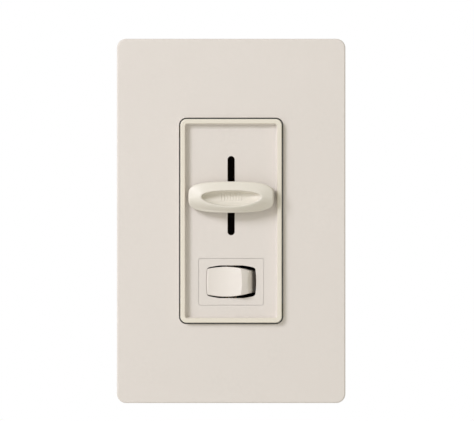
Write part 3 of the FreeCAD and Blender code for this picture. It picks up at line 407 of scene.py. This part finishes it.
def knob_outline(half_width, half_height):
    """The knob from the front: a full oval with blunt ends, starting at its left tip."""
    fine = KNOB_STEPS * 8
    raw = half_oval(half_width, half_height, KNOB_END_POWER, KNOB_SIDE_POWER, fine, True)
    raw += half_oval(half_width, half_height, KNOB_END_POWER, KNOB_SIDE_POWER, fine, False)
    return even_points(raw, KNOB_STEPS)


def dish_outline():
    """The hollow's edge: an oval that reaches further below its tips than above them."""
    half = KNOB_STEPS // 2
    upper = half_oval(DISH_HALF, DISH_UP, DISH_UPPER_POWER, DISH_UPPER_POWER, half, True)
    lower = half_oval(DISH_HALF, DISH_DOWN, DISH_LOWER_POWER, DISH_LOWER_POWER, half, False)
    return [(x, z + DISH_TIP_Z) for x, z in upper + lower]


def dish_edge(x, reach, power):
    """How far the hollow reaches at x from the line between its tips."""
    return reach * max(0.0, 1 - abs(x / DISH_HALF) ** power) ** (1 / power)


def dish_depth(x, z):
    """How deep the hollow is, with z measured from the line between its tips."""
    low = -dish_edge(x, DISH_DOWN, DISH_LOWER_POWER)
    high = dish_edge(x, DISH_UP, DISH_UPPER_POWER)
    if high - low < 1e-9:
        return 0.0
    share = min(1.0, max(0.0, (z - low) / (high - low)))
    along = max(0.0, 1 - abs(x / DISH_HALF) ** DISH_ALONG_POWER) ** DISH_TIP_WALL
    return DISH_DEEP * along * (2 - 2 * share) ** DISH_UPPER_WALL * (2 * share) ** DISH_LOWER_RAMP


def slope_drop(distance, across, up):
    """How far the front has fallen away from the hollow's edge, in the direction (across, up)."""
    slope, blend = (KNOB_UPPER_SLOPE, SLOPE_BLEND) if up > 0 else (KNOB_LOWER_SLOPE, LOWER_BLEND)
    ends = KNOB_END_SLOPE * (math.hypot(distance, SLOPE_BLEND) - SLOPE_BLEND)
    return ends * across ** 2 + slope * (math.hypot(distance, blend) - blend) * up ** 2


def domed_rim(outline, lens, front):
    """Rings from the knob's widest line over its tight edge and up the slope to the hollow."""
    last_turn = math.pi / 2 * KNOB_TURN_SHARE
    edge_width = KNOB_EDGE_ROUND * (1 - math.cos(last_turn))
    rings = []
    for row in range(EDGE_RINGS + SLOPE_RINGS + 1):
        turn = last_turn * min(1.0, row / EDGE_RINGS)
        climb = max(0.0, (row - EDGE_RINGS) / SLOPE_RINGS)
        ring = []
        for (x, z), (lens_x, lens_z) in zip(outline, lens):
            gap = math.dist((x, z), (lens_x, lens_z))
            inward = KNOB_EDGE_ROUND * (1 - math.cos(turn)) + (gap - edge_width) * climb
            rolled = KNOB_EDGE_ROUND * (math.sin(last_turn) - math.sin(turn))
            fall = slope_drop(gap - max(inward, edge_width), (x - lens_x) / gap, (z - lens_z) / gap)
            y = front + fall + rolled
            share = inward / gap
            ring.append((x + (lens_x - x) * share, y, z + (lens_z - z) * share))
        rings.append(ring)
    return rings


def lever_pocket(count, back):
    """Rings from the edge of the lever's pocket in the knob's back to the pocket's floor."""
    low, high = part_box(LEVER_NODE)
    half_x, half_z = (high[0] - low[0]) / 2, (high[2] - low[2]) / 2
    square = [(-half_x, -half_z), (-half_x, half_z), (half_x, half_z), (half_x, -half_z)]
    edge = even_points(square, count)
    left = min(range(count), key=lambda k: math.dist(edge[k], (-half_x, 0)))
    edge = edge[left:] + edge[:left]
    return [[(x, y, z) for x, z in edge] for y in (low[1], back)]


def build_knob():
    """The oval knob: a rolled rim round a deep hollow, and a pocket for the lever behind."""
    low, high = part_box(KNOB_NODE)
    back, front = high[1], low[1]
    centre_z = (high[2] + low[2]) / 2
    outline = knob_outline((high[0] - low[0]) / 2, (high[2] - low[2]) / 2)
    lens = dish_outline()
    rings = lever_pocket(KNOB_STEPS, back)
    for k in range(BACK_RINGS + 1):
        angle = math.pi / 2 * k / BACK_RINGS
        step = KNOB_BACK_ROUND * (1 - math.sin(angle))
        y = back - KNOB_BACK_ROUND * (1 - math.cos(angle))
        rings.append([(x, y, z) for x, z in inset(outline, step)])
    rings += domed_rim(outline, lens, front)
    for k in range(1, DISH_RINGS + 1):
        keep = math.cos(math.pi / 2 * k / DISH_RINGS) ** DISH_RING_POWER if k < DISH_RINGS else 0.0
        ring = []
        for x, z in lens:
            height = (z - DISH_TIP_Z) * keep
            ring.append((x, front + dish_depth(x, height), DISH_TIP_Z + height))
        rings.append(ring)
    points, faces = joined_rings(rings)
    points = [(x, y, z + centre_z) for x, y, z in points]
    faces.append(tuple(range(KNOB_STEPS)))
    knob = piece_from("knob_shell", points, faces, "slider", "almond_knob")
    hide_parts(KNOB_NODE)
    return front, centre_z


def build_dish_ribs(rim_y, centre_z):
    """Eight fine upright ribs in the middle of the knob's hollow."""
    for k in range(RIB_COUNT):
        x = (k - (RIB_COUNT - 1) / 2) * RIB_PITCH
        rings = []
        for step in range(RIB_STEPS + 1):
            share = step / RIB_STEPS * 2 - 1
            z = RIB_CENTRE_Z + share * RIB_HALF_HEIGHT
            floor = rim_y + dish_depth(x, z - DISH_TIP_Z)
            stand = RIB_STAND * max(RIB_END_SHARE, math.sqrt(max(0.0, 1 - share ** 4)))
            ring = []
            for side in range(RIB_SIDES + 1):
                angle = math.pi * side / RIB_SIDES
                ring.append((x - math.cos(angle) * RIB_HALF_WIDTH, floor + RIB_ROOT
                             - math.sin(angle) * (stand + RIB_ROOT), z + centre_z))
            rings.append(ring)
        points, faces = closed_skin(rings)
        piece_from(f"knob_rib_{k + 1}", points, faces, "slider", "almond_knob")


# ---------------------------------------------------------------- screws

SCREW_SIDES = 32
THREAD_PITCH = 0.79 * MM        # number 6, 32 threads to the inch
THREAD_DEPTH = 0.32 * MM
THREAD_STEPS = 8                # rings in each pitch
HEAD_STEPS = 6
SLOT_WIDTH = 0.9 * MM
TIP_LENGTH = 1.0 * MM
TIP_SHARE = 0.5                 # of the thread's radius, at the end of the tip
HEAD_CHAMFER = 0.15 * MM
HEAD_FACE_SHARES = (0.3, 0.7)   # of the flat face's radius
SLOT_OVERRUN = 1.2              # of the head's radius, so that the slot runs out at both sides
SHARP_EDGE = 35.0               # degrees
BOX_SCREW = {"head_r": 3.3 * MM, "head_height": 2.2 * MM, "edge_round": 1.0 * MM,
             "neck_r": 1.4 * MM, "thread_r": 1.75 * MM, "thread_start": 0.7 * MM}
PLATE_SCREW = {"head_r": 2.9 * MM, "head_height": 1.7 * MM, "edge_round": 0.76 * MM,
               "neck_r": 1.4 * MM, "thread_r": 1.7 * MM, "thread_start": -1.2 * MM}
BINDING_HEAD_HEIGHT = 1.9 * MM
BINDING_EDGE_ROUND = 0.6 * MM
BINDING_THREAD_R = 1.7 * MM
BINDING_SLOT_DEPTH = 0.9 * MM


def round_ring(radius, along):
    """A ring across a screw's axis, as (side, side, along) places."""
    angles = [2 * math.pi * k / SCREW_SIDES for k in range(SCREW_SIDES)]
    return [(radius * math.cos(angle), radius * math.sin(angle), along) for angle in angles]


def thread_rings(radius, start, end):
    """Rings of a right-handed thread that fades in at its start and out at its tip."""
    count = max(2, round((end - start) / THREAD_PITCH * THREAD_STEPS))
    rings = []
    for step in range(count + 1):
        along = start + (end - start) * step / count
        fade = min(1.0, (along - start) / THREAD_PITCH, (end - along) / THREAD_PITCH)
        ring = []
        for k in range(SCREW_SIDES):
            phase = ((along - start) / THREAD_PITCH - k / SCREW_SIDES) % 1.0
            ridge = 1 - abs(2 * phase - 1)
            r = radius - THREAD_DEPTH * (1 - ridge * max(0.0, fade))
            angle = 2 * math.pi * k / SCREW_SIDES
            ring.append((r * math.cos(angle), r * math.sin(angle), along))
        rings.append(ring)
    return rings


def head_rings(radius, top, seat, edge_round):
    """Rings of a screw head with a rounded front edge and a soft seat."""
    rings = [round_ring((radius - edge_round) * share, top) for share in HEAD_FACE_SHARES]
    for k in range(HEAD_STEPS + 1):
        angle = math.pi / 2 * k / HEAD_STEPS
        side = radius - edge_round * (1 - math.sin(angle))
        rings.append(round_ring(side, top + edge_round * (1 - math.cos(angle))))
    rings.append(round_ring(radius, seat - HEAD_CHAMFER))
    rings.append(round_ring(radius - HEAD_CHAMFER, seat))
    return rings


def cut_slot(piece, centre, half_sizes):
    """Cuts a box-shaped slot out of a piece and keeps the result as its mesh."""
    cutter_mesh = bpy.data.meshes.new("slot_cutter")
    box = bmesh.new()
    bmesh.ops.create_cube(box, size=2.0)
    for vertex in box.verts:
        vertex.co = Vector([c + h * v for c, h, v in zip(centre, half_sizes, vertex.co)])
    box.to_mesh(cutter_mesh)
    box.free()
    cutter = bpy.data.objects.new("slot_cutter", cutter_mesh)
    bpy.context.scene.collection.objects.link(cutter)
    modifier = piece.modifiers.new("slot", "BOOLEAN")
    modifier.operation = "DIFFERENCE"
    modifier.solver = "EXACT"
    modifier.object = cutter
    bpy.context.view_layer.update()
    shape = piece.evaluated_get(bpy.context.evaluated_depsgraph_get())
    result = bpy.data.meshes.new_from_object(shape)
    piece.modifiers.clear()
    piece.data = result
    bpy.data.objects.remove(cutter)


def slotted_screw(name, rings, place, material_slot, slot_centre, slot_half_sizes):
    """A closed screw from its rings; place turns (side, side, along) into a point."""
    points, faces = closed_skin(rings)
    screw = piece_from(name, [place(*p) for p in points], faces, "device", material_slot)
    cut_slot(screw, slot_centre, slot_half_sizes)
    screw.data.set_sharp_from_angle(angle=math.radians(SHARP_EDGE))
    return screw


def build_machine_screws(node, name, head_r, head_height, edge_round, neck_r, thread_r, thread_start):
    """A node's upper and lower screws: slotted heads in front, threads to the back."""
    low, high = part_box(node)
    top, end = low[1], high[1]
    seat = top + head_height
    for label, z in (("upper", high[2] - head_r), ("lower", low[2] + head_r)):
        def place(side, up, along, z=z):
            return (side, along, z - up)

        rings = head_rings(head_r, top, seat, edge_round)
        rings.append(round_ring(neck_r, seat))
        rings.append(round_ring(neck_r, thread_start))
        rings += thread_rings(thread_r, thread_start, end - TIP_LENGTH)
        rings.append(round_ring(thread_r * TIP_SHARE, end))
        screw = slotted_screw(f"{name}_{label}", rings, place, "zinc_steel", (0, top, z),
                              (head_r * SLOT_OVERRUN, head_height / 2, SLOT_WIDTH / 2))
        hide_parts(node)


def build_terminal_screws():
    """Brass binding screws in the side pockets, with domed slotted heads that face right."""
    low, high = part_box("terminal_screws")
    head_r = (high[1] - low[1]) / 2
    centre_y = (high[1] + low[1]) / 2
    for label, z in (("upper", high[2] - head_r), ("lower", low[2] + head_r)):
        def place(side, up, along, z=z):
            return (high[0] - along, centre_y - side, z + up)

        rings = head_rings(head_r, 0.0, BINDING_HEAD_HEIGHT, BINDING_EDGE_ROUND)
        rings.append(round_ring(BINDING_THREAD_R - THREAD_DEPTH, BINDING_HEAD_HEIGHT))
        rings += thread_rings(BINDING_THREAD_R, BINDING_HEAD_HEIGHT, high[0] - low[0])
        screw = slotted_screw(f"terminal_screw_{label}", rings, place, "brass_screw", (high[0], centre_y, z),
                              (BINDING_SLOT_DEPTH, SLOT_WIDTH / 2, head_r * SLOT_OVERRUN))
        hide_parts("terminal_screws")


# ---------------------------------------------------------------- choke winding

TURNS = 22
TURN_STEPS = 20
WIRE_SIDES = 8
WIRE_R = 0.5 * MM
WIRE_STAND = 0.06 * MM          # between the wire and the core
WIRE_CORNER = 0.6 * MM
CORE_THICKNESS = 5.0 * MM       # from the core's bore to its outside
LEAD_STEPS = 4
WINDING_OPEN = 16.0             # degrees each side of the top that stay bare


def rounded_box_point(share, half_width, half_height, corner):
    """A place round a rounded rectangle, from the middle of its left side, as (across, up)."""
    straight_x, straight_z = half_width - corner, half_height - corner
    bend = math.pi / 2 * corner
    runs = [straight_z, bend, 2 * straight_x, bend, 2 * straight_z, bend, 2 * straight_x, bend, straight_z]
    left = share * sum(runs)
    x, z, heading = -half_width, 0.0, 0.0
    for k, run in enumerate(runs):
        step = min(left, run)
        if k % 2 == 0:
            x += step * math.sin(heading)
            z += step * math.cos(heading)
        else:
            turn = step / corner
            x += corner * (math.cos(heading) - math.cos(heading + turn))
            z += corner * (math.sin(heading + turn) - math.sin(heading))
            heading += turn
        left -= step
        if left <= 0:
            break
    return x, z


def swept_tube(path, radius, sides):
    """Rings of a round wire along a path, kept from twisting."""
    rings = []
    side = Vector((1, 0, 0))
    for k, point in enumerate(path):
        along = (path[min(k + 1, len(path) - 1)] - path[max(k - 1, 0)]).normalized()
        side = (side - along * side.dot(along)).normalized()
        up = along.cross(side)
        turns = [2 * math.pi * n / sides for n in range(sides)]
        rings.append([point + (side * math.cos(turn) + up * math.sin(turn)) * radius for turn in turns])
    return rings


def winding_path(centre, middle, half_radial, half_deep):
    """The wire's path: turns round the core's section that step round its ring."""
    first = math.radians(90 + WINDING_OPEN)
    span = math.radians(360 - 2 * WINDING_OPEN)
    path = []
    for step in range(TURNS * TURN_STEPS + 1):
        angle = first + span * step / (TURNS * TURN_STEPS)
        back, out = rounded_box_point(step / TURN_STEPS % 1.0, half_deep, half_radial, WIRE_CORNER)
        reach = middle + out
        path.append(Vector((centre[0] + reach * math.cos(angle), centre[1] + back,
                            centre[2] + reach * math.sin(angle))))
    return path


def build_choke_winding():
    """Enamelled wire in separate turns round the core, with its two ends down to the board."""
    low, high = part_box("choke_core")
    board_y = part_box("choke_winding")[0][1]
    centre = [(a + b) / 2 for a, b in zip(low, high)]
    outer = (high[0] - low[0]) / 2
    inner = outer - CORE_THICKNESS
    offset = WIRE_R + WIRE_STAND
    half_radial, half_deep = (outer - inner) / 2 + offset, (high[1] - low[1]) / 2 + offset
    path = winding_path(centre, (outer + inner) / 2, half_radial, half_deep)

    def lead(top):
        depths = [board_y + (top.y - board_y) * k / LEAD_STEPS for k in range(LEAD_STEPS)]
        return [Vector((top.x, y, top.z)) for y in depths]

    path = lead(path[0]) + path + lead(path[-1])[::-1]
    points, faces = closed_skin(swept_tube(path, WIRE_R, WIRE_SIDES))
    winding = piece_from("choke_turns", points, faces, "device", "enamelled_copper")
    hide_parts("choke_winding")


# ---------------------------------------------------------------- stage

def point_at(thing, target):
    direction = Vector(target) - thing.location
    thing.rotation_euler = direction.to_track_quat("-Z", "Y").to_euler()


FLOOR_HALF_WIDTH = 1.6
FLOOR_FRONT = -1.4
FLOOR_BACK = 0.85
FLOOR_Z = -0.16
FLOOR_COLOUR = (0.86, 0.85, 0.83)
FLOOR_STAIN_MM = 40.0
SURROUND_RADIUS = 4.0


def build_floor():
    """A plain pale floor below the object."""
    mesh = bpy.data.meshes.new("floor")
    mesh.from_pydata([(-FLOOR_HALF_WIDTH, FLOOR_FRONT, FLOOR_Z), (FLOOR_HALF_WIDTH, FLOOR_FRONT, FLOOR_Z),
                      (FLOOR_HALF_WIDTH, FLOOR_BACK, FLOOR_Z), (-FLOOR_HALF_WIDTH, FLOOR_BACK, FLOOR_Z)],
                     [], [(0, 1, 2, 3)])
    floor = bpy.data.objects.new("floor", mesh)
    bpy.context.scene.collection.objects.link(floor)
    material, tree, shader = start_material("pale_floor")
    shader.inputs["Base Color"].default_value = (*FLOOR_COLOUR, 1)
    tree.links.new(spread(tree, noise(tree, FLOOR_STAIN_MM), 0.7, 0.8), shader.inputs["Roughness"])
    mesh.materials.append(material)


def build_surround():
    """A plain white surround that only the camera sees."""
    ball = bmesh.new()
    bmesh.ops.create_uvsphere(ball, u_segments=48, v_segments=24, radius=SURROUND_RADIUS)
    mesh = bpy.data.meshes.new("white_surround")
    ball.to_mesh(mesh)
    ball.free()
    surround = bpy.data.objects.new("white_surround", mesh)
    bpy.context.scene.collection.objects.link(surround)
    glow = bpy.data.materials.new("white_surround")
    glow.use_nodes = True
    glow.node_tree.nodes.clear()
    output = glow.node_tree.nodes.new("ShaderNodeOutputMaterial")
    emission = glow.node_tree.nodes.new("ShaderNodeEmission")
    emission.inputs["Color"].default_value = (1.0, 1.0, 1.0, 1)
    emission.inputs["Strength"].default_value = 1.0
    glow.node_tree.links.new(emission.outputs["Emission"], output.inputs["Surface"])
    mesh.materials.append(glow)
    surround.visible_diffuse = False
    surround.visible_glossy = False
    surround.visible_transmission = False
    surround.visible_shadow = False


AMBIENT = 0.50
AMBIENT_COLOUR = (1.0, 0.99, 0.86)
KEY_ENERGY = 21.5
KEY_COLOUR = (0.98, 0.98, 1.07)
KEY_SIZE = 0.68
KEY_PLACE = (-1.16, -1.20, 0.84)
CAMERA_DISTANCE = 1.1
CAMERA_WIDTH = 156.0 * MM       # seen across the picture at the object
CAMERA_AIM = (1.92 * MM, 0.0, 3.4 * MM)
SENSOR_WIDTH = 36.0


def build_light():
    """An even warm white room and one soft lamp from the upper left."""
    world = bpy.data.worlds.new("studio")
    world.use_nodes = True
    background = world.node_tree.nodes["Background"]
    background.inputs["Color"].default_value = (*AMBIENT_COLOUR, 1)
    background.inputs["Strength"].default_value = AMBIENT
    bpy.context.scene.world = world
    bpy.context.scene.view_settings.view_transform = "Standard"
    data = bpy.data.lights.new("key", "AREA")
    data.shape = "DISK"
    data.size = KEY_SIZE
    data.energy = KEY_ENERGY
    data.color = KEY_COLOUR
    key = bpy.data.objects.new("key", data)
    key.location = Vector(KEY_PLACE)
    bpy.context.scene.collection.objects.link(key)
    point_at(key, (0, 0, 0))


def build_camera():
    """Straight on from the front through a long lens, aimed a little right of and above the middle."""
    aim = Vector(CAMERA_AIM)
    data = bpy.data.cameras.new("camera")
    data.sensor_width = SENSOR_WIDTH
    data.lens = SENSOR_WIDTH * CAMERA_DISTANCE / CAMERA_WIDTH
    data.clip_start = 0.01
    camera = bpy.data.objects.new("camera", data)
    camera.location = aim + Vector((0, -CAMERA_DISTANCE, 0))
    bpy.context.scene.collection.objects.link(camera)
    point_at(camera, aim)
    bpy.context.scene.camera = camera


paint_cad_nodes()
build_camera()
build_light()
build_floor()
build_surround()
build_dish_ribs(*build_knob())
build_machine_screws("mounting_screws", "mounting_screw", **BOX_SCREW)
build_machine_screws("adapter_screws", "adapter_screw", **PLATE_SCREW)
build_terminal_screws()
build_choke_winding()
